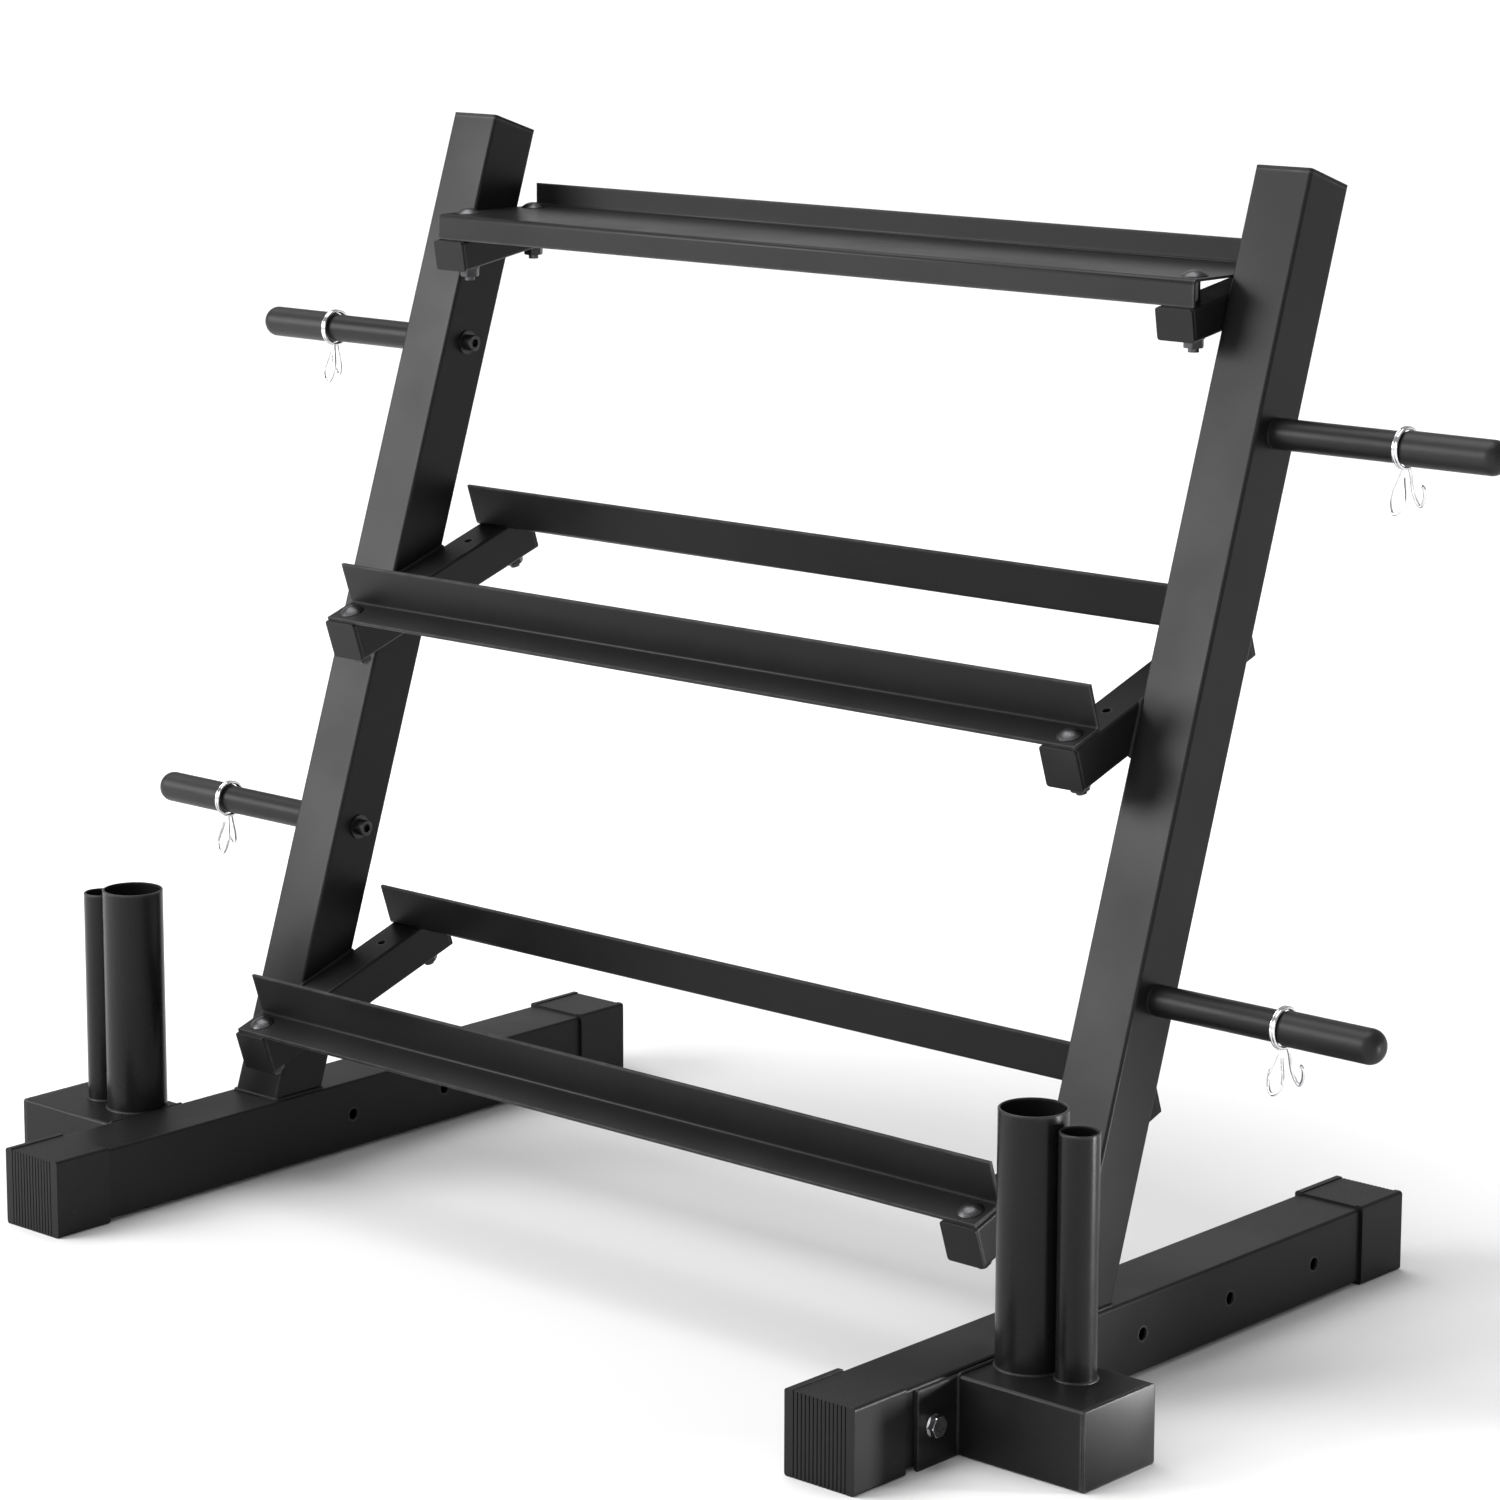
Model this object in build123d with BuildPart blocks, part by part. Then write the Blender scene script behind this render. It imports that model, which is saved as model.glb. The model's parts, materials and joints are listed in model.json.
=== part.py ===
"""Three-tier dumbbell rack with a kettlebell tray, plate pegs and bar holders.

Millimetres, +X to the right, +Y to the back, +Z up. The origin is on the floor, in the middle of the
rack. The right-hand pieces are modelled, and the left-hand ones are their mirror images.
"""
import os
from math import atan2, cos, degrees, radians, sin, tan

from build123d import *

os.makedirs("parts", exist_ok=True)

# ---------------------------------------------------------------- driving dimensions
rack_depth = 790            # over the base end caps
frame_spacing = 1000        # between the centre planes of the two side frames

base_size = 70              # square base tube
base_wall = 2.5
cap_wall = 3                # plastic sleeve cap on each base tube end
cap_length = 65
cap_panel_depth = 1
cap_panel_width = 60
rib_count = 13
rib_pitch = 4.3
groove_width = 1.3
groove_depth = 1
accessory_hole = 12         # spare holes through the base tube
accessory_count = 3
accessory_pitch = 130
accessory_end_gap = 73      # last hole to the rear cap

upright_size = 60           # square upright tube
upright_wall = 2
upright_lean = 18.5         # degrees, the top leans back
upright_length = 1021       # along the front edge, plug included
upright_foot_y = -105       # front edge at the foot

arm_size = 40               # square arm tube of the two dumbbell tiers
arm_wall = 2
arm_length = 266            # over the end plugs
arm_slope = 18.5            # degrees, the front end is the lower one
arm_heights = {"middle": 478.4, "bottom": 60.7}     # top front edge, along the upright from its foot
arm_overhangs = {"middle": 79.2, "bottom": 75.7}    # the same edge, in front of the upright
spare_hole = 8
spare_hole_setback = 74     # from each end of the arm

top_arm_height = 30
top_arm_nose = 5.5          # shows in front of the tray
top_arm_tail = 4.5          # stops short of the tray's rear edge

plug_head = 3               # end plugs of the tubes
plug_depth = 11
plug_wall = 2.5

rail_flange = 38            # angle rails
rail_lip = 45
rail_sheet = 3
rail_inner_bend = 2
rail_setback = 3            # flange edge behind the arm's end
side_gap = 2                # rail or tray end to upright

tray_top_z = 946            # folded kettlebell tray
tray_overhang = 53.6        # in front of the upright, at deck height
tray_depth = 144
tray_lip = 25
tray_sheet = 2.5
tray_inner_bend = 2.5
tray_bolt_setback = 26      # from each edge of the tray

bolt_diameter = 10
bolt_clearance = 1          # added to the diameter for holes in sheet and tube
dome_diameter = 24
dome_height = 5.5
washer_diameter = 20
washer_thickness = 2
nut_flats = 17
nut_height = 8
bolt_tail = 4               # thread showing past the nut
hex_head_height = 6.4

peg_diameter = 28           # plate pegs
peg_wall = 2
peg_reach = 234             # from the upright to the rounded tip
peg_heights = {"upper": 790, "lower": 286}      # along the upright from its foot
peg_cap_wall = 1.5          # plastic cap over the outer end of each peg
peg_cap_end = 11
peg_cap_rounding = 13
peg_insert_depth = 18
peg_washer_diameter = 24
peg_head_diameter = 16
peg_socket_flats = 8
peg_socket_depth = 5

clip_reach = 134            # spring clip at rest, from the upright
clip_wire = 3
clip_gap = 0.4              # ring to peg cap, all round and endways
clip_turn_pitch = 2.8       # the ring is two turns of wire pressed together
clip_leg_spread = 14        # degrees each way from straight down
clip_leg_root = 12          # degrees each way from the lowest point of the ring
clip_loop = [(0, 0), (14, -4), (29, -6), (40, 0), (34, 7), (20, 7), (8, 4)]     # down and outward
clip_hook = [(0, 0), (14, 1), (28, 2.5), (35, 7), (29, 11.5), (16, 11)]

holder_plate = 4            # bar holders
holder_plate_length = 200
holder_height = 70
holder_arm_width = 96
holder_arm_wall = 2.5
holder_arm_margin = 38.5    # beyond the small sleeve
holder_end_plate = 3
holder_cap_gap = 14         # front base cap to flange plate
holder_bolt_pitch = 162
holder_bolt_z = 36
sleeve_wall = 2
large_sleeve = 60
large_sleeve_height = 223
small_sleeve = 35
small_sleeve_height = 212
sleeve_tube_gap = 2         # base tube to large sleeve
sleeve_setback = 13         # behind the middle of the holder arm
sleeve_gap = 0.5

tube_corner = 3             # outside corner radius of every square tube
edge_break = 0.6

# ---------------------------------------------------------------- derived places
base_x = frame_spacing / 2
base_bottom = cap_wall
base_middle = base_bottom + base_size / 2
base_top = base_bottom + base_size
base_outer_x = base_x + base_size / 2
upright_inner_x = base_x - upright_size / 2
upright_outer_x = base_x + upright_size / 2
rail_half_length = upright_inner_x - side_gap
arm_x = upright_inner_x - arm_size / 2
bolt_hole = (bolt_diameter + bolt_clearance) / 2

lean = radians(upright_lean)
up_the_upright = Vector(0, sin(lean), cos(lean))
through_the_upright = Vector(0, cos(lean), -sin(lean))
upright_foot = Vector(0, upright_foot_y, base_top)

tray_front_y = upright_foot_y + (tray_top_z - base_top) * tan(lean) - tray_overhang
tray_rear_y = tray_front_y + tray_depth
tray_bolt_ys = (tray_front_y + tray_bolt_setback, tray_rear_y - tray_bolt_setback)
tray_lip_rear_y = tray_front_y + tray_sheet
tray_underside = tray_top_z - tray_sheet
tray_lip_bottom = tray_top_z - tray_lip
top_arm_front_y = tray_front_y - top_arm_nose
top_arm_rear_y = tray_rear_y - top_arm_tail
top_arm_slope = degrees(atan2(tray_underside - tray_lip_bottom, top_arm_rear_y - tray_lip_rear_y))
top_arm_front = (
    top_arm_front_y,
    tray_lip_bottom - (tray_lip_rear_y - top_arm_front_y) * tan(radians(top_arm_slope)),
)
top_arm_length = (top_arm_rear_y - top_arm_front_y) / cos(radians(top_arm_slope))

rail_bolt_setback = rail_setback + (rail_flange - rail_sheet) / 2
rail_bolt_length = rail_sheet + arm_size + washer_thickness + nut_height + bolt_tail
dome_rise = dome_height - edge_break
dome_radius = ((dome_diameter / 2) ** 2 + dome_rise**2) / (2 * dome_rise)


# ---------------------------------------------------------------- helpers
def save(piece, name):
    """Label a finished piece and write it."""
    piece.label = name
    export_step(piece, f"parts/{name}.step")


def save_pair(piece, name):
    """Write a right-hand piece and its left-hand mirror image."""
    save(piece, f"{name}_right")
    with BuildPart() as twin:
        mirror(piece, about=Plane.YZ)
    save(twin.part, f"{name}_left")


def place(piece, planes):
    """Separate copies of one piece, one on each plane."""
    with BuildPart() as group:
        with Locations(*[Location(plane) for plane in planes]):
            add(piece)
    return group.part


def both_sides(piece):
    """A right-hand group with its left-hand mirror image."""
    with BuildPart() as group:
        add(piece)
        mirror(piece, about=Plane.YZ)
    return group.part


def deck_plane(front, slope, x=0):
    """Plane on the top face of a sloped arm: local X is across, local Y runs back along the arm."""
    angle = radians(slope)
    return Plane(origin=(x, *front), x_dir=(1, 0, 0), z_dir=(0, -sin(angle), cos(angle)))


def profile_plane(front, slope, x):
    """Plane across the rack at x: local X runs back along the arm, local Y stands on its top face."""
    angle = radians(slope)
    return Plane(origin=(x, *front), x_dir=(0, cos(angle), sin(angle)), z_dir=(1, 0, 0))


def upright_plane(height, depth, x):
    """Plane facing +X on the upright, a height up its front edge and a depth in from it."""
    centre = upright_foot + up_the_upright * height + through_the_upright * depth
    return Plane(origin=(x, centre.Y, centre.Z), x_dir=through_the_upright, z_dir=(1, 0, 0))


def box_tube(plane, width, height, wall, length):
    """Rectangular tube centred on the plane, along its normal."""
    with BuildPart() as tube:
        with BuildSketch(plane):
            RectangleRounded(width, height, tube_corner)
            RectangleRounded(width - 2 * wall, height - 2 * wall, tube_corner - wall / 2, mode=Mode.SUBTRACT)
        extrude(amount=length)
    return tube.part


def end_plug(plane, width, height, wall):
    """Plastic plug: its head stands on the plane along the normal, its hollow body goes the other way."""
    with BuildPart() as plug:
        with BuildSketch(plane):
            RectangleRounded(width, height, tube_corner)
        extrude(amount=plug_head)
        with BuildSketch(plane):
            RectangleRounded(width - 2 * wall, height - 2 * wall, tube_corner - wall / 2)
            Rectangle(width - 2 * (wall + plug_wall), height - 2 * (wall + plug_wall), mode=Mode.SUBTRACT)
        extrude(amount=-plug_depth)
    return plug.part


def carriage_bolt(length):
    """Dome-head bolt: the head stands on the XY plane, the shank hangs below it."""
    with BuildPart() as bolt:
        with BuildSketch(Plane.XZ):
            with BuildLine():
                Line((0, 0), (dome_diameter / 2, 0))
                Line((dome_diameter / 2, 0), (dome_diameter / 2, edge_break))
                RadiusArc((dome_diameter / 2, edge_break), (0, dome_height), -dome_radius)
                Line((0, dome_height), (0, 0))
            make_face()
        revolve(axis=Axis.Z)
        with BuildSketch(Plane.XY):
            Circle(bolt_diameter / 2)
        extrude(amount=-length)
    return bolt.part


def washer(diameter):
    """Flat washer that hangs below the XY plane."""
    with BuildPart() as ring:
        with BuildSketch(Plane.XY):
            Circle(diameter / 2)
            Circle(bolt_diameter / 2, mode=Mode.SUBTRACT)
        extrude(amount=-washer_thickness)
    return ring.part


def hex_nut():
    """Hexagon nut that hangs below the XY plane, with its free corners turned off."""
    with BuildPart() as nut:
        with BuildSketch(Plane.XY):
            RegularPolygon(nut_flats / 2, 6, major_radius=False)
            Circle(bolt_diameter / 2, mode=Mode.SUBTRACT)
        extrude(amount=-nut_height)
        with BuildSketch(Plane.XY.offset(-nut_height)):
            Circle(nut_flats / 2 + edge_break)
        extrude(amount=nut_height, taper=-30, mode=Mode.INTERSECT)
    return nut.part


# ---------------------------------------------------------------- base tubes and their caps
last_accessory_y = rack_depth / 2 - cap_length - accessory_end_gap
accessory_ys = [last_accessory_y - accessory_pitch * step for step in range(accessory_count)]
holder_y = -rack_depth / 2 + cap_length + holder_cap_gap + holder_plate_length / 2
holder_bolt_ys = [holder_y - holder_bolt_pitch / 2, holder_y + holder_bolt_pitch / 2]
tube_length = rack_depth - 2 * cap_wall
tube_start = Plane(origin=(base_x, -tube_length / 2, base_middle), x_dir=(1, 0, 0), z_dir=(0, 1, 0))

with BuildPart() as base_tube:
    add(box_tube(tube_start, base_size, base_size, base_wall, tube_length))
    with BuildSketch(Plane.YZ.offset(base_outer_x)):
        with Locations(*[(y, base_middle) for y in accessory_ys]):
            Circle(accessory_hole / 2)
    extrude(amount=-base_size, mode=Mode.SUBTRACT)
    with BuildSketch(Plane.YZ.offset(base_outer_x)):
        with Locations(*[(y, holder_bolt_z) for y in holder_bolt_ys]):
            Circle(bolt_hole)
    extrude(amount=-2 * base_wall, mode=Mode.SUBTRACT)
save_pair(base_tube.part, "base_tube")

cap_size = base_size + 2 * cap_wall
cap_face = Plane(origin=(base_x, -rack_depth / 2, base_middle), x_dir=(1, 0, 0), z_dir=(0, -1, 0))

with BuildPart() as front_cap:
    with BuildSketch(cap_face):
        RectangleRounded(cap_size, cap_size, tube_corner)
    extrude(amount=-cap_length)
    with BuildSketch(cap_face.offset(-cap_wall)):
        RectangleRounded(base_size, base_size, tube_corner)
    extrude(amount=-cap_length, mode=Mode.SUBTRACT)
    with BuildSketch(cap_face):
        with GridLocations(rib_pitch, 0, rib_count + 1, 1):
            Rectangle(groove_width, cap_size)
    extrude(amount=-groove_depth, mode=Mode.SUBTRACT)
    with BuildSketch(Plane.XY.offset(base_top + cap_wall)):
        with Locations((base_x, -rack_depth / 2 + cap_length / 2)):
            Rectangle(cap_panel_width, cap_length)
    extrude(amount=-cap_panel_depth, mode=Mode.SUBTRACT)
save_pair(front_cap.part, "base_cap_front")

with BuildPart() as rear_cap:
    mirror(front_cap.part, about=Plane.XZ)
save_pair(rear_cap.part, "base_cap_rear")

# ---------------------------------------------------------------- uprights and their top plugs
upright_tube_length = upright_length - plug_head
upright_axis_foot = upright_foot + through_the_upright * (upright_size / 2)
upright_end = upright_axis_foot + up_the_upright * upright_tube_length
upright_start = Plane(
    origin=(base_x, upright_axis_foot.Y, upright_axis_foot.Z), x_dir=(1, 0, 0), z_dir=up_the_upright
)

with BuildPart() as upright:
    add(box_tube(upright_start, upright_size, upright_size, upright_wall, upright_tube_length))
    split(bisect_by=Plane.XY.offset(base_top), keep=Keep.TOP)
    for height in peg_heights.values():
        with BuildSketch(upright_plane(height, upright_size / 2, upright_inner_x)):
            Circle(bolt_hole)
        extrude(amount=upright_size, mode=Mode.SUBTRACT)
save_pair(upright.part, "upright")

upright_top = Plane(origin=(base_x, upright_end.Y, upright_end.Z), x_dir=(1, 0, 0), z_dir=up_the_upright)
save_pair(end_plug(upright_top, upright_size, upright_size, upright_wall), "upright_top_plug")


# ---------------------------------------------------------------- arms, welded to the uprights
def arm_section(front, slope, height, back):
    """Plane across the arm's tube, a distance back from its front end."""
    origin = deck_plane(front, slope).from_local_coords(Vector(arm_x, back, -height / 2))
    angle = radians(slope)
    return Plane(origin=origin, x_dir=(1, 0, 0), z_dir=(0, cos(angle), sin(angle)))


def build_arm(front, slope, height, length, bolt_setbacks, spare_setbacks):
    """Arm tube with bolt holes through it and spare holes in its top wall."""
    with BuildPart() as arm:
        add(box_tube(arm_section(front, slope, height, plug_head), arm_size, height, arm_wall,
                     length - 2 * plug_head))
        with BuildSketch(deck_plane(front, slope, arm_x)):
            with Locations(*[(0, setback) for setback in bolt_setbacks]):
                Circle(bolt_hole)
        extrude(amount=-height, mode=Mode.SUBTRACT)
        if spare_setbacks:
            with BuildSketch(deck_plane(front, slope, arm_x)):
                with Locations(*[(0, setback) for setback in spare_setbacks]):
                    Circle(spare_hole / 2)
            extrude(amount=-2 * arm_wall, mode=Mode.SUBTRACT)
    return arm.part


def arm_plugs(front, slope, height, length):
    """Plugs in the front and rear ends of the right-hand and left-hand arms."""
    front_end = arm_section(front, slope, height, plug_head)
    facing_front = Plane(origin=front_end.origin, x_dir=(1, 0, 0), z_dir=-front_end.z_dir)
    rear_end = arm_section(front, slope, height, length - plug_head)
    with BuildPart() as plugs:
        add(end_plug(facing_front, arm_size, height, arm_wall))
        add(end_plug(rear_end, arm_size, height, arm_wall))
    return both_sides(plugs.part)


tiers = {}
for tier, height in arm_heights.items():
    edge = upright_foot + up_the_upright * height - through_the_upright * arm_overhangs[tier]
    tiers[tier] = (edge.Y, edge.Z)
rail_bolt_setbacks = (rail_bolt_setback, arm_length - rail_bolt_setback)
spare_setbacks = (spare_hole_setback, arm_length - spare_hole_setback)
for tier, front in tiers.items():
    arm = build_arm(front, arm_slope, arm_size, arm_length, rail_bolt_setbacks, spare_setbacks)
    save_pair(arm, f"arm_{tier}")
    save(arm_plugs(front, arm_slope, arm_size, arm_length), f"arm_{tier}_plugs")

top_plane = deck_plane(top_arm_front, top_arm_slope)
with BuildPart() as top_arm:
    add(box_tube(arm_section(top_arm_front, top_arm_slope, top_arm_height, plug_head), arm_size,
                 top_arm_height, arm_wall, top_arm_length - 2 * plug_head))
    with BuildSketch(Plane.XY.offset(tray_top_z)):
        with Locations(*[(arm_x, y) for y in tray_bolt_ys]):
            Circle(bolt_hole)
    extrude(amount=-(tray_lip + 2 * top_arm_height), mode=Mode.SUBTRACT)
save_pair(top_arm.part, "arm_top")
save(arm_plugs(top_arm_front, top_arm_slope, top_arm_height, top_arm_length), "arm_top_plugs")

# ---------------------------------------------------------------- kettlebell tray
tray_outline = [
    (tray_front_y, tray_lip_bottom),
    (tray_front_y, tray_top_z),
    (tray_rear_y - tray_sheet, tray_top_z),
    (tray_rear_y - tray_sheet, tray_top_z + tray_lip - tray_sheet),
    (tray_rear_y, tray_top_z + tray_lip - tray_sheet),
    (tray_rear_y, tray_underside),
    (tray_lip_rear_y, tray_underside),
    (tray_lip_rear_y, tray_lip_bottom),
]
tray_bends = [
    ((tray_front_y, tray_top_z), tray_inner_bend + tray_sheet),
    ((tray_lip_rear_y, tray_underside), tray_inner_bend),
    ((tray_rear_y - tray_sheet, tray_top_z), tray_inner_bend),
    ((tray_rear_y, tray_underside), tray_inner_bend + tray_sheet),
]

with BuildPart() as kettlebell_tray:
    with BuildSketch(Plane.YZ.offset(-rail_half_length)) as tray_profile:
        with BuildLine():
            Polyline(*tray_outline, close=True)
        make_face()
        for corner, radius in tray_bends:
            fillet(tray_profile.vertices().sort_by_distance((*corner, 0))[0], radius)
    extrude(amount=2 * rail_half_length)
    with BuildSketch(Plane.XY.offset(tray_top_z)):
        with Locations(*[(side * arm_x, y) for side in (-1, 1) for y in tray_bolt_ys]):
            Circle(bolt_hole)
    extrude(amount=-2 * tray_sheet, mode=Mode.SUBTRACT)
save(kettlebell_tray.part, "kettlebell_tray")


# ---------------------------------------------------------------- dumbbell rails
def build_rail(front, at_rear):
    """Angle rail on a pair of arms: its lip stands on the edge nearer the middle of the arm."""
    edge = rail_setback
    heel = rail_setback + rail_flange
    outline = [(edge, 0), (heel, 0), (heel, rail_lip), (heel - rail_sheet, rail_lip),
               (heel - rail_sheet, rail_sheet), (edge, rail_sheet)]
    bends = [((heel, 0), rail_inner_bend + rail_sheet), ((heel - rail_sheet, rail_sheet), rail_inner_bend)]
    if at_rear:
        outline = [(arm_length - along, up) for along, up in outline]
        bends = [((arm_length - along, up), radius) for (along, up), radius in bends]
    bolt_setback = rail_bolt_setbacks[1] if at_rear else rail_bolt_setbacks[0]
    with BuildPart() as rail:
        with BuildSketch(profile_plane(front, arm_slope, -rail_half_length)) as profile:
            with BuildLine():
                Polyline(*outline, close=True)
            make_face()
            for corner, radius in bends:
                fillet(profile.vertices().sort_by_distance((*corner, 0))[0], radius)
        extrude(amount=2 * rail_half_length)
        with BuildSketch(deck_plane(front, arm_slope).offset(rail_sheet)):
            with Locations((-arm_x, bolt_setback), (arm_x, bolt_setback)):
                Circle(bolt_hole)
        extrude(amount=-2 * rail_sheet, mode=Mode.SUBTRACT)
    return rail.part


for tier, front in tiers.items():
    save(build_rail(front, at_rear=False), f"rail_{tier}_front")
    save(build_rail(front, at_rear=True), f"rail_{tier}_rear")

# ---------------------------------------------------------------- rail and tray fasteners
rail_bolt_seats = []
for tier, front in tiers.items():
    deck = deck_plane(front, arm_slope)
    seats = []
    for side in (-1, 1):
        for setback in rail_bolt_setbacks:
            spot = deck.from_local_coords(Vector(side * arm_x, setback, 0))
            seats.append(Plane(origin=spot, x_dir=(1, 0, 0), z_dir=deck.z_dir))
    save(place(carriage_bolt(rail_bolt_length), [seat.offset(rail_sheet) for seat in seats]),
         f"rail_{tier}_bolts")
    rail_bolt_seats += seats

undersides = [seat.offset(-arm_size) for seat in rail_bolt_seats]
save(place(washer(washer_diameter), undersides), "rail_washers")
save(place(hex_nut(), [seat.offset(-washer_thickness) for seat in undersides]), "rail_nuts")


def underside_height(y):
    """Height of the sloped underside of a top arm at y."""
    slope = radians(top_arm_slope)
    top = top_arm_front[1] + (y - top_arm_front_y) * tan(slope)
    return top - top_arm_height / cos(slope)


tray_nut_zs = {}
for y in tray_bolt_ys:
    tray_nut_zs[y] = underside_height(y - washer_diameter / 2) - washer_thickness

with BuildPart() as tray_bolts:
    for y in tray_bolt_ys:
        length = tray_top_z - tray_nut_zs[y] + nut_height + bolt_tail
        with Locations((arm_x, y, tray_top_z)):
            add(carriage_bolt(length))
save(both_sides(tray_bolts.part), "tray_bolts")

# Taper washers fill the wedge between the sloped arm and the square-seated nut.
with BuildPart() as tray_washers:
    for y in tray_bolt_ys:
        with BuildSketch(Plane.XY.offset(tray_nut_zs[y])):
            with Locations((arm_x, y)):
                Circle(washer_diameter / 2)
                Circle(bolt_diameter / 2, mode=Mode.SUBTRACT)
        extrude(amount=2 * top_arm_height)
    split(bisect_by=top_plane.offset(-top_arm_height), keep=Keep.BOTTOM)
save(both_sides(tray_washers.part), "tray_taper_washers")

tray_nuts = place(hex_nut(), [Plane(origin=(arm_x, y, tray_nut_zs[y])) for y in tray_bolt_ys])
save(both_sides(tray_nuts), "tray_nuts")

# ---------------------------------------------------------------- plate pegs
peg_radius = peg_diameter / 2
peg_bore = peg_radius - peg_wall
peg_tube_length = peg_reach - peg_cap_end
peg_cap_radius = peg_radius + peg_cap_wall
peg_cap_start = clip_reach + clip_turn_pitch / 2 + clip_wire / 2 + clip_gap
peg_bolt_length = washer_thickness + upright_size + peg_insert_depth - bolt_tail

with BuildPart() as peg_tube:
    with BuildSketch(Plane.XY):
        Circle(peg_radius)
        Circle(peg_bore, mode=Mode.SUBTRACT)
    extrude(amount=peg_tube_length)

with BuildPart() as peg_insert:
    with BuildSketch(Plane.XY):
        Circle(peg_bore)
        Circle(bolt_diameter / 2, mode=Mode.SUBTRACT)
    extrude(amount=peg_insert_depth)

with BuildPart() as peg_cap:
    with BuildSketch(Plane.XY.offset(peg_cap_start)):
        Circle(peg_cap_radius)
    extrude(amount=peg_reach - peg_cap_start)
    fillet(peg_cap.faces().sort_by(Axis.Z)[-1].edges(), peg_cap_rounding)
    with BuildSketch(Plane.XY.offset(peg_cap_start)):
        Circle(peg_radius)
    extrude(amount=peg_tube_length - peg_cap_start, mode=Mode.SUBTRACT)

# Socket bolt: the head stands on the XY plane, the shank hangs below it.
with BuildPart() as peg_bolt:
    with BuildSketch(Plane.XY):
        Circle(peg_head_diameter / 2)
    extrude(amount=bolt_diameter)
    chamfer(peg_bolt.faces().sort_by(Axis.Z)[-1].edges(), edge_break)
    with BuildSketch(Plane.XY.offset(bolt_diameter)):
        RegularPolygon(peg_socket_flats / 2, 6, major_radius=False)
    extrude(amount=-peg_socket_depth, mode=Mode.SUBTRACT)
    with BuildSketch(Plane.XY):
        Circle(bolt_diameter / 2)
    extrude(amount=-peg_bolt_length)

outward = {}
inward = {}
for level, height in peg_heights.items():
    outward[level] = upright_plane(height, upright_size / 2, upright_outer_x)
    inner = upright_plane(height, upright_size / 2, upright_inner_x)
    inward[level] = Plane(origin=inner.origin, x_dir=inner.x_dir, z_dir=(-1, 0, 0))
    save_pair(place(peg_tube.part, [outward[level]]), f"peg_{level}")
    save_pair(place(peg_cap.part, [outward[level]]), f"peg_{level}_cap")

save(both_sides(place(peg_insert.part, outward.values())), "peg_inserts")
washer_seats = [plane.offset(washer_thickness) for plane in inward.values()]
save(both_sides(place(washer(peg_washer_diameter), washer_seats)), "peg_washers")
save(both_sides(place(peg_bolt.part, washer_seats)), "peg_bolts")

# ---------------------------------------------------------------- spring clips, one on each peg
ring_radius = peg_cap_radius + clip_gap + clip_wire / 2
spread = radians(clip_leg_spread)
root = radians(clip_leg_root)

with BuildPart() as spring_clip:
    with BuildSketch(Plane.XY):
        with Locations((-clip_turn_pitch / 2, ring_radius), (clip_turn_pitch / 2, ring_radius)):
            Circle(clip_wire / 2)
    revolve(axis=Axis.X)
    for side, leg_shape in ((-1, clip_loop), (1, clip_hook)):
        down = Vector(0, side * sin(spread), -cos(spread))
        start = Vector(side * clip_turn_pitch / 2, side * ring_radius * sin(root), -ring_radius * cos(root))
        with BuildLine() as leg:
            Spline(*[start + down * drop + Vector(outward_shift, 0, 0) for drop, outward_shift in leg_shape])
        with BuildSketch(Plane(origin=start, z_dir=leg.line % 0)):
            Circle(clip_wire / 2)
        sweep(path=leg.line)

for level, plane in outward.items():
    with BuildPart() as placed_clip:
        with Locations((upright_outer_x + clip_reach, plane.origin.Y, plane.origin.Z)):
            add(spring_clip.part)
    save_pair(placed_clip.part, f"spring_clip_{level}")

# ---------------------------------------------------------------- bar holders
plate_outer_x = base_outer_x + holder_plate
large_sleeve_x = base_outer_x + sleeve_tube_gap + large_sleeve / 2
small_sleeve_x = large_sleeve_x + large_sleeve / 2 + sleeve_gap + small_sleeve / 2
holder_end_x = small_sleeve_x + small_sleeve / 2 + holder_arm_margin
sleeve_y = holder_y + sleeve_setback

with BuildPart() as holder_flange:
    with BuildSketch(Plane.YZ.offset(base_outer_x)):
        with Locations((holder_y, holder_height / 2)):
            Rectangle(holder_plate_length, holder_height)
        with Locations(*[(y, holder_bolt_z) for y in holder_bolt_ys]):
            Circle(bolt_hole, mode=Mode.SUBTRACT)
    extrude(amount=holder_plate)
    fillet(holder_flange.edges().filter_by(Axis.X), edge_break)
save_pair(holder_flange.part, "holder_plate")

holder_arm_start = Plane(
    origin=(plate_outer_x, holder_y, holder_height / 2), x_dir=(0, 1, 0), z_dir=(1, 0, 0)
)
holder_arm_length = holder_end_x - holder_end_plate - plate_outer_x
save_pair(
    box_tube(holder_arm_start, holder_arm_width, holder_height, holder_arm_wall, holder_arm_length),
    "holder_arm",
)

with BuildPart() as holder_end:
    with BuildSketch(holder_arm_start.offset(holder_arm_length)):
        RectangleRounded(holder_arm_width, holder_height, tube_corner)
    extrude(amount=holder_end_plate)
save_pair(holder_end.part, "holder_end_plate")

sleeves = {
    "large": (large_sleeve_x, large_sleeve, large_sleeve_height),
    "small": (small_sleeve_x, small_sleeve, small_sleeve_height),
}
for size, (x, diameter, height) in sleeves.items():
    with BuildPart() as sleeve:
        with BuildSketch(Plane.XY.offset(holder_height)):
            with Locations((x, sleeve_y)):
                Circle(diameter / 2)
                Circle(diameter / 2 - sleeve_wall, mode=Mode.SUBTRACT)
        extrude(amount=height)
        chamfer(sleeve.faces().sort_by(Axis.Z)[-1].edges().sort_by(SortBy.RADIUS)[-1], edge_break)
    save_pair(sleeve.part, f"bar_sleeve_{size}")

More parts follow.
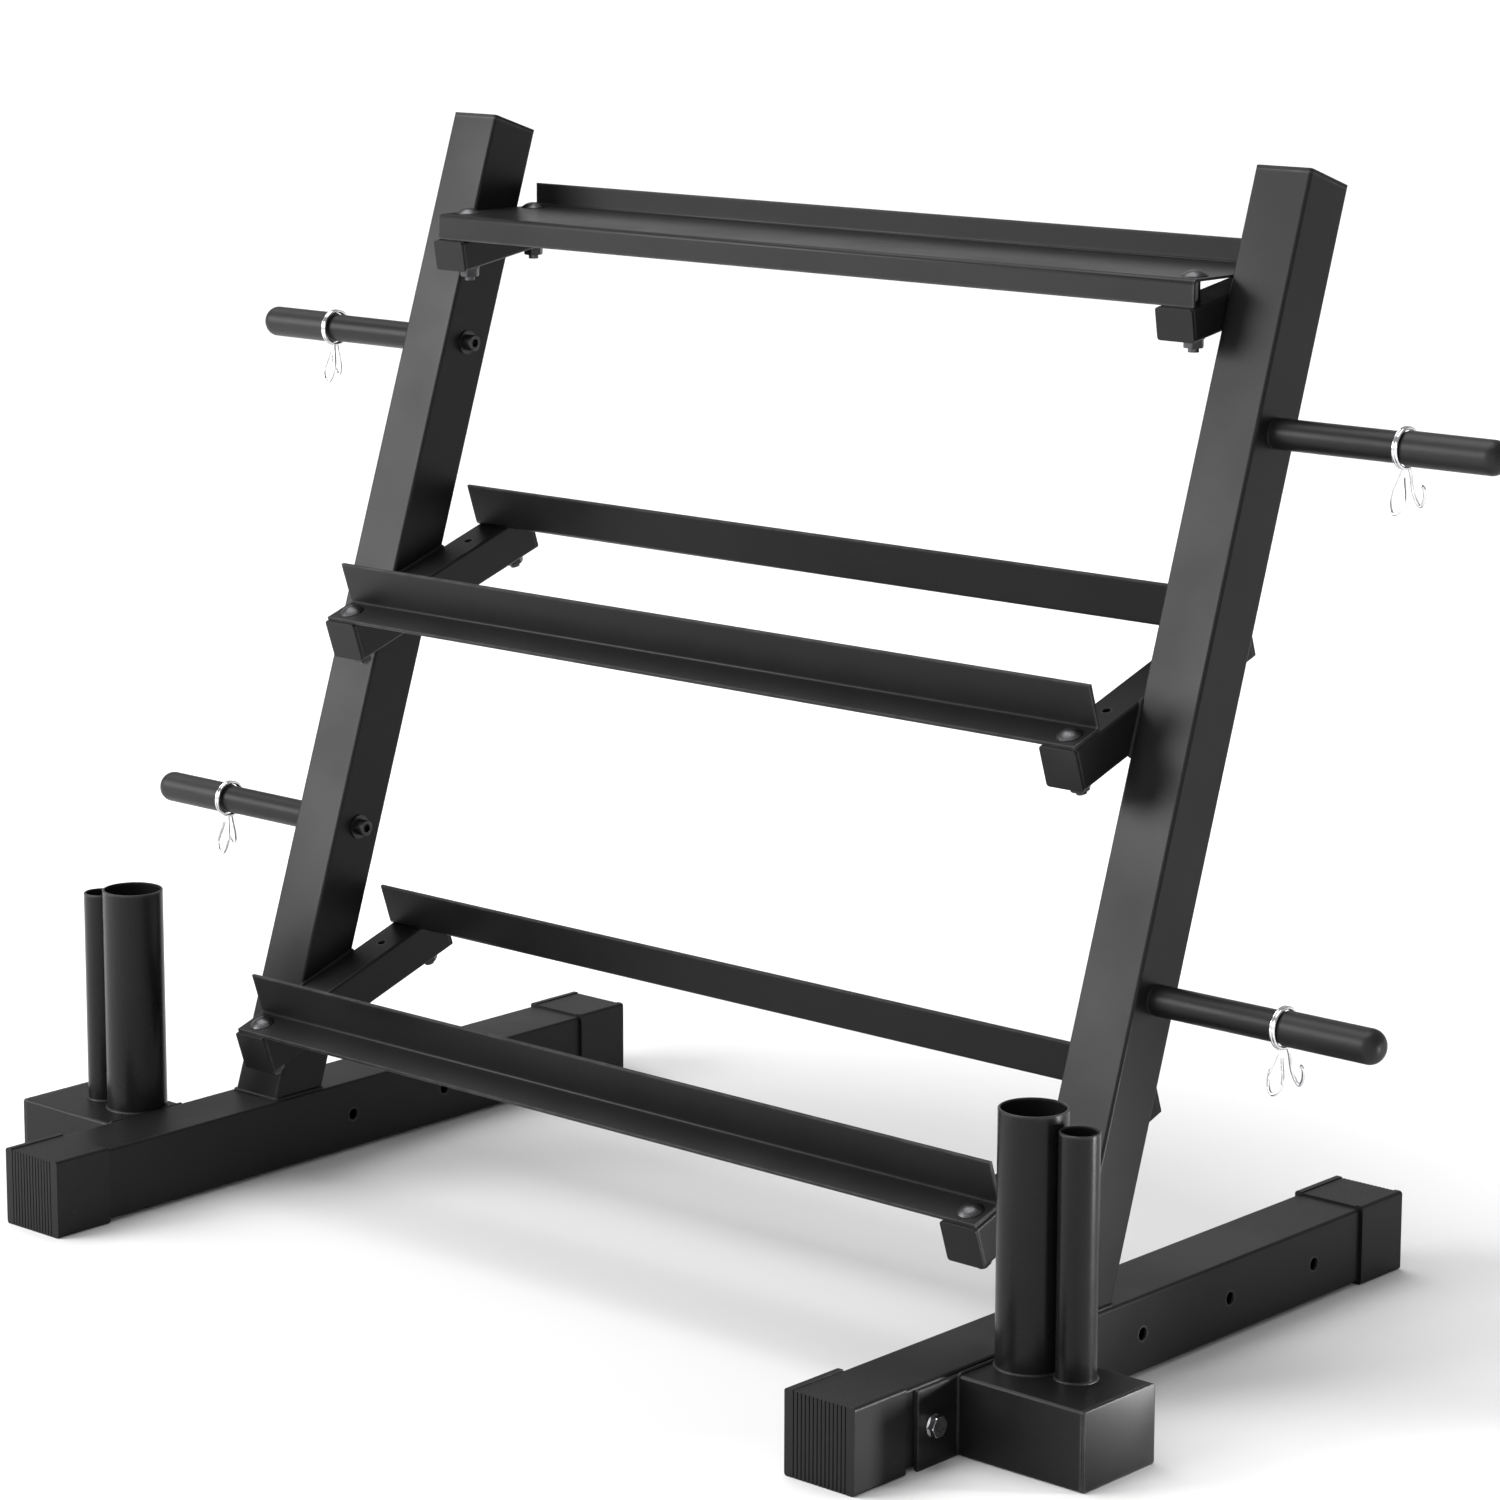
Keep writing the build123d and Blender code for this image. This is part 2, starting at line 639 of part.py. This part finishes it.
holder_washer_seats = [
    Plane(origin=(plate_outer_x + washer_thickness, y, holder_bolt_z), x_dir=(0, 1, 0), z_dir=(1, 0, 0))
    for y in holder_bolt_ys
]
weld_nut_seats = [
    Plane(origin=(base_outer_x - base_wall, y, holder_bolt_z), x_dir=(0, 1, 0), z_dir=(1, 0, 0))
    for y in holder_bolt_ys
]
holder_bolt_length = washer_thickness + holder_plate + base_wall + nut_height + bolt_tail

with BuildPart() as hex_bolt:
    with BuildSketch(Plane.XY):
        RegularPolygon(nut_flats / 2, 6, major_radius=False)
    extrude(amount=hex_head_height)
    with BuildSketch(Plane.XY.offset(hex_head_height)):
        Circle(nut_flats / 2 + edge_break)
    extrude(amount=-hex_head_height, taper=-30, mode=Mode.INTERSECT)
    with BuildSketch(Plane.XY):
        Circle(bolt_diameter / 2)
    extrude(amount=-holder_bolt_length)

save(both_sides(place(hex_bolt.part, holder_washer_seats)), "holder_bolts")
save(both_sides(place(washer(washer_diameter), holder_washer_seats)), "holder_washers")
save(both_sides(place(hex_nut(), weld_nut_seats)), "holder_weld_nuts")
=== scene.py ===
"""Looks of a black steel dumbbell rack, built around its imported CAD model. Metres, in the CAD frame."""

import json
import math
import random

import bmesh
import bpy
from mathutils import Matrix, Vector


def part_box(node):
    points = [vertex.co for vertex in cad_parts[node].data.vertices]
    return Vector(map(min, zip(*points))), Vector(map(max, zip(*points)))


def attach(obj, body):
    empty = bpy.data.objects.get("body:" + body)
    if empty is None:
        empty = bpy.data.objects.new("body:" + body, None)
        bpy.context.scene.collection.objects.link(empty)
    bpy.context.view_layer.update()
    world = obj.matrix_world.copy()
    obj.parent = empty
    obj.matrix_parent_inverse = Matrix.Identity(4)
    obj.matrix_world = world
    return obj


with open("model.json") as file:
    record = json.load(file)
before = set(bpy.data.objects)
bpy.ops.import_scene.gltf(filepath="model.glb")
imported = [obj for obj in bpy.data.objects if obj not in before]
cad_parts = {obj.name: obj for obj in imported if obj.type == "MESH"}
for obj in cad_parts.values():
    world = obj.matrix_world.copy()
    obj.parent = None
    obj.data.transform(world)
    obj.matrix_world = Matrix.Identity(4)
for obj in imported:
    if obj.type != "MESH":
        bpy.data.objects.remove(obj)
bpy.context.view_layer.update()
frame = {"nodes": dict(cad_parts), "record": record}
nodes = frame["nodes"]
scene = bpy.context.scene
MM = 0.001


# ---------------------------------------------------------------- shader building blocks
class Shader:
    """A material with a Principled surface, and short calls that add nodes to it."""

    def __init__(self, name, color, roughness, metallic=0.0):
        self.material = bpy.data.materials.new(name)
        self.material.use_nodes = True
        self.tree = self.material.node_tree
        self.surface = self.tree.nodes["Principled BSDF"]
        self.set("Base Color", (*color, 1))
        self.set("Roughness", roughness)
        self.set("Metallic", metallic)
        self.position = self.add("ShaderNodeTexCoord").outputs["Object"]

    def add(self, kind, **properties):
        node = self.tree.nodes.new(kind)
        for name, value in properties.items():
            setattr(node, name, value)
        return node

    def join(self, source, target):
        self.tree.links.new(source, target)

    def set(self, name, value):
        self.surface.inputs[name].default_value = value

    def feed(self, name, source):
        self.join(source, self.surface.inputs[name])

    def noise(self, scale, detail=2.0, roughness=0.5, stretch=(1, 1, 1)):
        """Noise over the object's own coordinates, with its scale in features per metre."""
        mapping = self.add("ShaderNodeMapping")
        mapping.inputs["Scale"].default_value = stretch
        self.join(self.position, mapping.inputs["Vector"])
        texture = self.add("ShaderNodeTexNoise")
        texture.inputs["Scale"].default_value = scale
        texture.inputs["Detail"].default_value = detail
        texture.inputs["Roughness"].default_value = roughness
        self.join(mapping.outputs["Vector"], texture.inputs["Vector"])
        return texture.outputs["Fac"]

    def between(self, source, low, high, out_low=0.0, out_high=1.0):
        """The source's range from low to high, stretched over the output range."""
        node = self.add("ShaderNodeMapRange")
        node.inputs["From Min"].default_value = low
        node.inputs["From Max"].default_value = high
        node.inputs["To Min"].default_value = out_low
        node.inputs["To Max"].default_value = out_high
        self.join(source, node.inputs["Value"])
        return node.outputs["Result"]

    def math(self, operation, first, second):
        node = self.add("ShaderNodeMath", operation=operation)
        for socket, value in zip(node.inputs, (first, second)):
            if isinstance(value, (int, float)):
                socket.default_value = value
            else:
                self.join(value, socket)
        return node.outputs[0]

    def mix(self, factor, first, second):
        """Two colours, mixed by a factor. A colour is three numbers or a socket."""
        node = self.add("ShaderNodeMix", data_type="RGBA")
        self.join(factor, node.inputs["Factor"])
        for socket, value in zip((node.inputs[6], node.inputs[7]), (first, second)):
            if isinstance(value, tuple):
                socket.default_value = (*value, 1)
            else:
                self.join(value, socket)
        return node.outputs[2]

    def edge(self, radius, low=0.05, high=0.25):
        """One along convex and concave edges, nothing on flat faces."""
        bevel = self.add("ShaderNodeBevel", samples=6)
        bevel.inputs["Radius"].default_value = radius
        flat = self.add("ShaderNodeNewGeometry")
        dot = self.add("ShaderNodeVectorMath", operation="DOT_PRODUCT")
        self.join(bevel.outputs["Normal"], dot.inputs[0])
        self.join(flat.outputs["Normal"], dot.inputs[1])
        turned = self.math("SUBTRACT", 1.0, dot.outputs["Value"])
        return self.between(turned, low, high)

    def bump(self, height, strength, distance):
        node = self.add("ShaderNodeBump")
        node.inputs["Strength"].default_value = strength
        node.inputs["Distance"].default_value = distance
        self.join(height, node.inputs["Height"])
        return node.outputs["Normal"]


# ---------------------------------------------------------------- materials
BLACK_GLOSS = 0.17         # specular level of the paint and of most of the plastic
# The pale grey of rubbed paint. It also serves as a painted highlight along the edges.
BARE_WEAR_AND_EDGE_HIGHLIGHT = (0.06, 0.06, 0.062)
PAINT_BLACK = (0.0062, 0.0062, 0.0065)


def powder_coat(name, color, roughness):
    """Baked powder coat: orange-peel skin, faint cloudy shine, edges lighter partly as rubbed paint and
    partly as a painted highlight.
    """
    shader = Shader(name, color, roughness)
    clouds = shader.noise(9, detail=3)
    specks = shader.noise(1400, detail=1)
    peel = shader.noise(620, detail=2)
    # Lighter along convex and concave edges: partly rubbed paint, partly a painted highlight on the edge
    # lines.
    rubbed_and_highlit_edge = shader.edge(4.5 * MM, 0.035, 0.16)
    patchy = shader.between(shader.noise(70, 4), 0.35, 0.7, 0.4, 1)
    rub_and_highlight = shader.math("MULTIPLY", rubbed_and_highlit_edge, patchy)
    darker = tuple(channel * 0.82 for channel in color)
    lighter = tuple(channel * 1.18 for channel in color)
    skin = shader.mix(shader.between(clouds, 0.3, 0.7), darker, lighter)
    skin = shader.mix(shader.between(specks, 0.66, 0.8, 0, 0.35), skin, BARE_WEAR_AND_EDGE_HIGHLIGHT)
    shader.feed("Base Color", shader.mix(rub_and_highlight, skin, BARE_WEAR_AND_EDGE_HIGHLIGHT))
    shader.feed("Roughness", shader.between(clouds, 0.3, 0.7, roughness - 0.05, roughness + 0.06))
    shader.feed("Normal", shader.bump(peel, 0.35, 0.12 * MM))
    shader.set("Specular IOR Level", BLACK_GLOSS)
    return shader.material


def moulded_plastic(name, color, roughness, grain=900, gloss=BLACK_GLOSS):
    """Moulded plastic with a fine eroded grain, paler where it is scuffed."""
    shader = Shader(name, color, roughness)
    texture = shader.noise(grain, detail=3, roughness=0.6)
    clouds = shader.noise(14, detail=4)
    scuffs = shader.between(shader.noise(60, 5, 0.7, stretch=(1, 1, 4)), 0.6, 0.78, 0, 0.5)
    paler = tuple(min(1, channel * 2 + 0.01) for channel in color)
    darker = tuple(channel * 0.8 for channel in color)
    body = shader.mix(shader.between(clouds, 0.3, 0.7), darker, color)
    worn = shader.math("MULTIPLY", shader.edge(0.8 * MM), 0.5)
    shader.feed("Base Color", shader.mix(shader.math("MAXIMUM", worn, scuffs), body, paler))
    shader.feed("Roughness", shader.between(texture, 0.3, 0.7, roughness - 0.06, roughness + 0.08))
    shader.feed("Normal", shader.bump(texture, 0.3, 0.08 * MM))
    shader.set("Specular IOR Level", gloss)
    return shader.material


def plated_steel(name, color, roughness):
    """Plated steel: fine marks and a cloudy plate."""
    shader = Shader(name, color, roughness, metallic=1.0)
    marks = shader.noise(900, detail=3)
    clouds = shader.noise(120, detail=3)
    darker = tuple(channel * 0.72 for channel in color)
    shader.feed("Base Color", shader.mix(shader.between(clouds, 0.35, 0.65), darker, color))
    shader.feed("Roughness", shader.between(marks, 0.3, 0.7, roughness * 0.7, roughness * 1.35))
    shader.feed("Normal", shader.bump(marks, 0.12, 0.03 * MM))
    return shader.material


finishes = {
    "black_powder_coat": powder_coat("black_powder_coat", PAINT_BLACK, 0.4),
    "base_cap_plastic": moulded_plastic("base_cap_plastic", (0.009, 0.009, 0.0095), 0.43),
    "plug_plastic": moulded_plastic("plug_plastic", (0.007, 0.007, 0.0075), 0.45),
    "peg_cap_plastic": moulded_plastic(
        "peg_cap_plastic", (0.012, 0.012, 0.0125), 0.42, grain=1300, gloss=0.2
    ),
    "clip_chrome": plated_steel("clip_chrome", (0.82, 0.82, 0.84), 0.12),
    "zinc_steel": plated_steel("zinc_steel", (0.78, 0.78, 0.8), 0.2),
    "dome_bolt_steel": plated_steel("dome_bolt_steel", (0.085, 0.085, 0.088), 0.36),
    "black_hardware": plated_steel("black_hardware", (0.06, 0.06, 0.063), 0.4),
}

# The same paint lies smoother on the round drawn tube of the bar sleeves.
tube_finish = powder_coat("black_powder_coat_tube", PAINT_BLACK, 0.27)

for row in frame["record"]["subparts"]:
    node = nodes[row["node"]]
    node.data.materials.clear()
    is_sleeve = row["node"].startswith("bar_sleeve")
    node.data.materials.append(tube_finish if is_sleeve else finishes[row["material_slot"]])

# ---------------------------------------------------------------- softened edges on sheet and plastic
SHARP_ANGLE = math.radians(35)
FLAT_ANGLE = math.radians(0.5)
MERGE_DISTANCE = 0.002 * MM


def soften(name, width):
    """Round off the sharp edges of a CAD node, as rolled sheet and moulded plastic have them."""
    node = nodes[name]
    merge = node.modifiers.new("weld", "WELD")
    merge.merge_threshold = MERGE_DISTANCE
    flat = node.modifiers.new("flat", "DECIMATE")
    flat.decimate_type = "DISSOLVE"
    flat.angle_limit = FLAT_ANGLE
    bevel = node.modifiers.new("bevel", "BEVEL")
    bevel.width = width
    bevel.segments = 2
    bevel.limit_method = "ANGLE"
    bevel.angle_limit = SHARP_ANGLE
    bevel.use_clamp_overlap = True
    bevel.harden_normals = True
    bevel.miter_outer = "MITER_ARC"


def edge_width(name):
    """How wide a node's edges are rounded, or nothing where they stay as they are."""
    is_rail = name.startswith("rail_") and name.endswith(("_front", "_rear"))
    if is_rail or name == "kettlebell_tray":
        return 0.5 * MM
    if name.startswith("holder_end"):
        return 0.7 * MM
    if name.startswith("holder_plate"):
        return 0.4 * MM
    if name.endswith("_plugs") or "top_plug" in name or name == "holder_bolts":
        return 0.6 * MM
    return None


for name in nodes:
    if edge_width(name):
        soften(name, edge_width(name))

# ---------------------------------------------------------------- weld beads
LEAN = math.radians(18.5)          # uprights, from the vertical
ARM_SLOPE = math.radians(18.5)     # arms, from the level
UPRIGHT = 60 * MM
ARM = 40 * MM
CORNER = 3 * MM                    # outside corner radius of the square tubes
FOOT_BEAD = 2.6 * MM               # bead radii
ARM_BEAD = 2.4 * MM
HOLDER_BEAD = 2.2 * MM
SLEEVE_BEAD = 1.7 * MM
HOLDER_BEAD_LIFT = 3 * MM          # the holder's bead starts this far above the floor

RIPPLE = 3.4 * MM                  # from one ripple of a bead to the next
RIPPLE_DEPTH = 0.16
RIPPLE_MEAN = 0.6
WOBBLE = 0.025
END_SIZE = 0.25                    # an open bead's end, as a share of its radius
END_TAPER = 1.5                    # length of the taper, in radii
BEAD_STEP = 0.85 * MM
BEAD_SIDES = 10
ARC_STEPS = 5
RING_POINTS = 72

X_AXIS = Vector((1, 0, 0))
Z_AXIS = Vector((0, 0, 1))
through_upright = Vector((0, math.cos(LEAN), -math.sin(LEAN)))
along_arm = Vector((0, math.cos(ARM_SLOPE), math.sin(ARM_SLOPE)))
down_arm = Vector((0, math.sin(ARM_SLOPE), -math.cos(ARM_SLOPE)))
randomness = random.Random(11)


def mesh_piece(name, verts, faces, slot):
    """A new smooth-shaded rack piece from a list of corners and faces."""
    mesh = bpy.data.meshes.new(name)
    mesh.from_pydata(verts, [], faces)
    mesh.polygons.foreach_set("use_smooth", [True] * len(faces))
    mesh.materials.append(finishes[slot])
    piece = bpy.data.objects.new(name, mesh)
    scene.collection.objects.link(piece)
    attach(piece, "rack")
    return piece


def resample(path, step, closed):
    """Points an even step apart along a polyline."""
    points = path + path[:1] if closed else path
    lengths = [0.0]
    for here, there in zip(points, points[1:]):
        lengths.append(lengths[-1] + (there - here).length)
    count = max(3, round(lengths[-1] / step))
    result = []
    leg = 0
    for index in range(count if closed else count + 1):
        along = lengths[-1] * index / count
        while leg < len(points) - 2 and lengths[leg + 1] < along:
            leg += 1
        share = (along - lengths[leg]) / max(1e-9, lengths[leg + 1] - lengths[leg])
        result.append((along, points[leg].lerp(points[leg + 1], share)))
    return result


def bead(path, radius, closed, up):
    """Corners and faces of one rippled weld bead along a path, round about it. Open ends taper."""
    samples = resample(path, BEAD_STEP, closed)
    total = samples[-1][0]
    verts, faces = [], []
    for index, (along, point) in enumerate(samples):
        before = samples[index - 1][1] if closed or index else point
        after = samples[(index + 1) % len(samples)][1] if closed or index < len(samples) - 1 else point
        forward = (after - before).normalized()
        side = forward.cross(up).normalized()
        rise = side.cross(forward)
        phase = (along / RIPPLE) % 1.0
        swell = 1 + RIPPLE_DEPTH * (math.sqrt(max(0.0, 1 - (2 * phase - 1) ** 2)) - RIPPLE_MEAN)
        size = radius * swell * (1 + randomness.uniform(-WOBBLE, WOBBLE))
        if not closed:
            size *= min(1.0, END_SIZE + min(along, total - along) / (END_TAPER * radius))
        for turn in range(BEAD_SIDES):
            angle = math.tau * turn / BEAD_SIDES
            verts.append(point + side * (size * math.cos(angle)) + rise * (size * math.sin(angle)))
    rings = len(samples)
    for ring in range(rings if closed else rings - 1):
        for turn in range(BEAD_SIDES):
            here, there = ring * BEAD_SIDES, (ring + 1) % rings * BEAD_SIDES
            spin = (turn + 1) % BEAD_SIDES
            faces.append((here + turn, here + spin, there + spin, there + turn))
    if not closed:
        faces.append(tuple(reversed(range(BEAD_SIDES))))
        faces.append(tuple(range((rings - 1) * BEAD_SIDES, rings * BEAD_SIDES)))
    return verts, faces


def weld(name, runs, up):
    """One piece from several beads: each is a path, a radius and whether it closes on itself."""
    verts, faces = [], []
    for path, radius, closed in runs:
        more_verts, more_faces = bead(path, radius, closed, up)
        faces += [tuple(corner + len(verts) for corner in face) for face in more_faces]
        verts += more_verts
    mesh_piece(name, verts, faces, "black_powder_coat")


def rounded_loop(corners, radius):
    """A closed polygon with an arc at each corner."""
    path = []
    for index, corner in enumerate(corners):
        before = (corners[index - 1] - corner).normalized()
        after = (corners[(index + 1) % len(corners)] - corner).normalized()
        for step in range(ARC_STEPS + 1):
            share = step / ARC_STEPS
            start, end = corner + before * radius, corner + after * radius
            path.append(start.lerp(corner, share).lerp(corner.lerp(end, share), share))
    return path


def ring(middle, radius):
    """A level circle of points."""
    angles = [math.tau * turn / RING_POINTS for turn in range(RING_POINTS)]
    return [middle + Vector((radius * math.cos(angle), radius * math.sin(angle), 0)) for angle in angles]


def crossing(edge_start, upright_front, depth):
    """Where an arm edge meets the plane a depth into the upright."""
    gap = depth - (edge_start - upright_front).dot(through_upright)
    return edge_start + along_arm * (gap / along_arm.dot(through_upright))


def corners_of(box):
    """The low and the high corner of a box, as vectors."""
    return [Vector(corner) for corner in box]


def weld_upright_foot(side, low, high):
    """Around the upright where it stands on the base tube."""
    rear_y = low.y + UPRIGHT / math.cos(LEAN)
    outline = ((low.x, low.y), (high.x, low.y), (high.x, rear_y), (low.x, rear_y))
    foot = [Vector((x, y, low.z)) for x, y in outline]
    weld(f"weld_upright_foot_{side}", [(rounded_loop(foot, CORNER), FOOT_BEAD, True)], Z_AXIS)


def weld_arm(tier, side, upright_front):
    """Around a sloped arm where it lies on the upright's inner face."""
    arm_low = Vector(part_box(f"arm_{tier}_{side}")[0])
    top_front = Vector((upright_front.x, arm_low.y, arm_low.z + ARM * math.cos(ARM_SLOPE)))
    bottom_front = top_front + down_arm * ARM
    corners = [
        crossing(top_front, upright_front, 0), crossing(top_front, upright_front, UPRIGHT),
        crossing(bottom_front, upright_front, UPRIGHT), crossing(bottom_front, upright_front, 0),
    ]
    weld(f"weld_arm_{tier}_{side}", [(rounded_loop(corners, CORNER), ARM_BEAD, True)], X_AXIS)


def weld_holder(side, sign):
    """Up, over and down the bar holder's stub where it meets the flange plate."""
    arm_low, arm_high = corners_of(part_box(f"holder_arm_{side}"))
    start_x = arm_low.x if sign > 0 else arm_high.x
    path = [
        Vector((start_x, y, z))
        for y, z in (
            (arm_low.y, HOLDER_BEAD_LIFT), (arm_low.y, arm_high.z - CORNER),
            (arm_low.y + CORNER, arm_high.z), (arm_high.y - CORNER, arm_high.z),
            (arm_high.y, arm_high.z - CORNER), (arm_high.y, HOLDER_BEAD_LIFT),
        )
    ]
    weld(f"weld_holder_{side}", [(path, HOLDER_BEAD, False)], X_AXIS)


def weld_sleeves(side):
    """Around the foot of both bar sleeves."""
    runs = []
    for size in ("large", "small"):
        tube_low, tube_high = corners_of(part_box(f"bar_sleeve_{size}_{side}"))
        middle = (tube_low + tube_high) / 2
        radius = (tube_high.x - tube_low.x) / 2
        runs.append((ring(Vector((middle.x, middle.y, tube_low.z)), radius), SLEEVE_BEAD, True))
    weld(f"weld_sleeves_{side}", runs, Z_AXIS)


for side, sign in (("right", 1), ("left", -1)):
    low, high = corners_of(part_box(f"upright_{side}"))
    weld_upright_foot(side, low, high)
    inner_x = low.x if sign > 0 else high.x
    for tier in ("middle", "bottom"):
        weld_arm(tier, side, Vector((inner_x, low.y, low.z)))
    weld_holder(side, sign)
    weld_sleeves(side)

# ---------------------------------------------------------------- floor, camera, light
FLOOR_SIZE = 40
FLOOR_PAINTED_SHADE = (0.6, 0.6, 0.6)       # painted shade: a darker floor under the rack, deepening its shadow
FLOOR_FAR = (0.96, 0.96, 0.96)
FLOOR_FADE = (0.5, 1.4)            # from the middle, in metres

CAMERA_PLACE = Vector((2803.5, -3073.0, 1359.3)) * MM
CAMERA_YAW = 0.7392
CAMERA_PITCH = -0.1813
CAMERA_LENS = 109.16
CAMERA_SHIFT = (0.0371, -0.0801)

HORIZON_RISE = (0.05, 0.16)        # height of a direction, from where the sky is white to where it is dim
HORIZON_STRENGTH = 1.05
OVERHEAD_STRENGTH = 0.4

SUN_ENERGY = 2.6
SUN_ANGLE = math.radians(50)
SUN_DIRECTION = Vector((-0.33, -0.03, 0.94))
RACK_MIDDLE = (0, 0, 0.5)


def build_floor():
    """A plain pale floor with painted shade: greyer under the rack than around it."""
    mesh = bpy.data.meshes.new("floor")
    grid = bmesh.new()
    bmesh.ops.create_grid(grid, x_segments=1, y_segments=1, size=FLOOR_SIZE / 2)
    grid.to_mesh(mesh)
    grid.free()
    floor = bpy.data.objects.new("floor", mesh)
    scene.collection.objects.link(floor)
    shader = Shader("floor", FLOOR_PAINTED_SHADE, 0.7)
    shader.feed("Roughness", shader.between(shader.noise(3), 0.3, 0.7, 0.66, 0.74))
    distance = shader.add("ShaderNodeVectorMath", operation="LENGTH")
    shader.join(shader.position, distance.inputs[0])
    # Painted shade: the floor is darker near the rack and paler further out.
    paler = shader.between(distance.outputs["Value"], *FLOOR_FADE)
    shader.feed("Base Color", shader.mix(paler, FLOOR_PAINTED_SHADE, FLOOR_FAR))
    mesh.materials.append(shader.material)


def build_camera():
    """The camera solved from the photograph, with less shift, so that other views stay centred."""
    data = bpy.data.cameras.new("camera")
    data.sensor_width = 36
    data.lens = CAMERA_LENS
    data.shift_x, data.shift_y = CAMERA_SHIFT
    data.clip_start, data.clip_end = 0.1, 200
    camera = bpy.data.objects.new("camera", data)
    camera.location = CAMERA_PLACE
    camera.rotation_euler = (math.pi / 2 + CAMERA_PITCH, 0, CAMERA_YAW)
    scene.collection.objects.link(camera)
    scene.camera = camera


def area_light(name, place, target, size, radiance, spread=180):
    """A soft box of an even brightness. Its power follows from its area, and a grid may narrow its beam."""
    data = bpy.data.lights.new(name, "AREA")
    data.shape = "RECTANGLE"
    data.size, data.size_y = size
    data.energy = radiance * math.pi * size[0] * size[1]
    light = bpy.data.objects.new(name, data)
    light.location = place
    light.rotation_euler = (Vector(target) - Vector(place)).to_track_quat("-Z", "Y").to_euler()
    data.spread = math.radians(spread)
    light.visible_camera = False
    scene.collection.objects.link(light)


def build_world():
    """White near the horizon, dimmer overhead."""
    world = bpy.data.worlds.new("studio")
    world.use_nodes = True
    tree = world.node_tree
    background = tree.nodes["Background"]
    background.inputs["Color"].default_value = (1, 1, 1, 1)
    direction = tree.nodes.new("ShaderNodeTexCoord").outputs["Generated"]
    split = tree.nodes.new("ShaderNodeSeparateXYZ")
    fade = tree.nodes.new("ShaderNodeMapRange")
    fade.inputs["From Min"].default_value, fade.inputs["From Max"].default_value = HORIZON_RISE
    fade.inputs["To Min"].default_value = HORIZON_STRENGTH
    fade.inputs["To Max"].default_value = OVERHEAD_STRENGTH
    tree.links.new(direction, split.inputs[0])
    tree.links.new(split.outputs["Z"], fade.inputs["Value"])
    tree.links.new(fade.outputs["Result"], background.inputs["Strength"])
    scene.world = world


def build_light():
    """A broad light from above, soft boxes around, and a low narrow one for the bar holder on the right."""
    data = bpy.data.lights.new("overhead", "SUN")
    data.energy = SUN_ENERGY
    data.angle = SUN_ANGLE
    sun = bpy.data.objects.new("overhead", data)
    sun.rotation_euler = SUN_DIRECTION.to_track_quat("Z", "Y").to_euler()
    scene.collection.objects.link(sun)
    area_light("front_left", (-2.9, -3.3, 2.05), RACK_MIDDLE, (2.9, 2.0), 13)
    area_light("back_left", (-2.4, 3.1, 2.3), RACK_MIDDLE, (2.0, 1.4), 0.5)
    area_light("front_right", (3.0, -3.4, 1.7), RACK_MIDDLE, (2.6, 1.6), 2)
    area_light("right", (1.5, 0.38, 0.12), (0.62, -0.2, 0.12), (0.1, 0.16), 21, spread=32)
    area_light("front", (-0.25, -4.3, 2.4), RACK_MIDDLE, (0.9, 1.4), 9)
    scene.view_settings.view_transform = "Standard"
    scene.view_settings.look = "None"


build_floor()
build_camera()
build_world()
build_light()
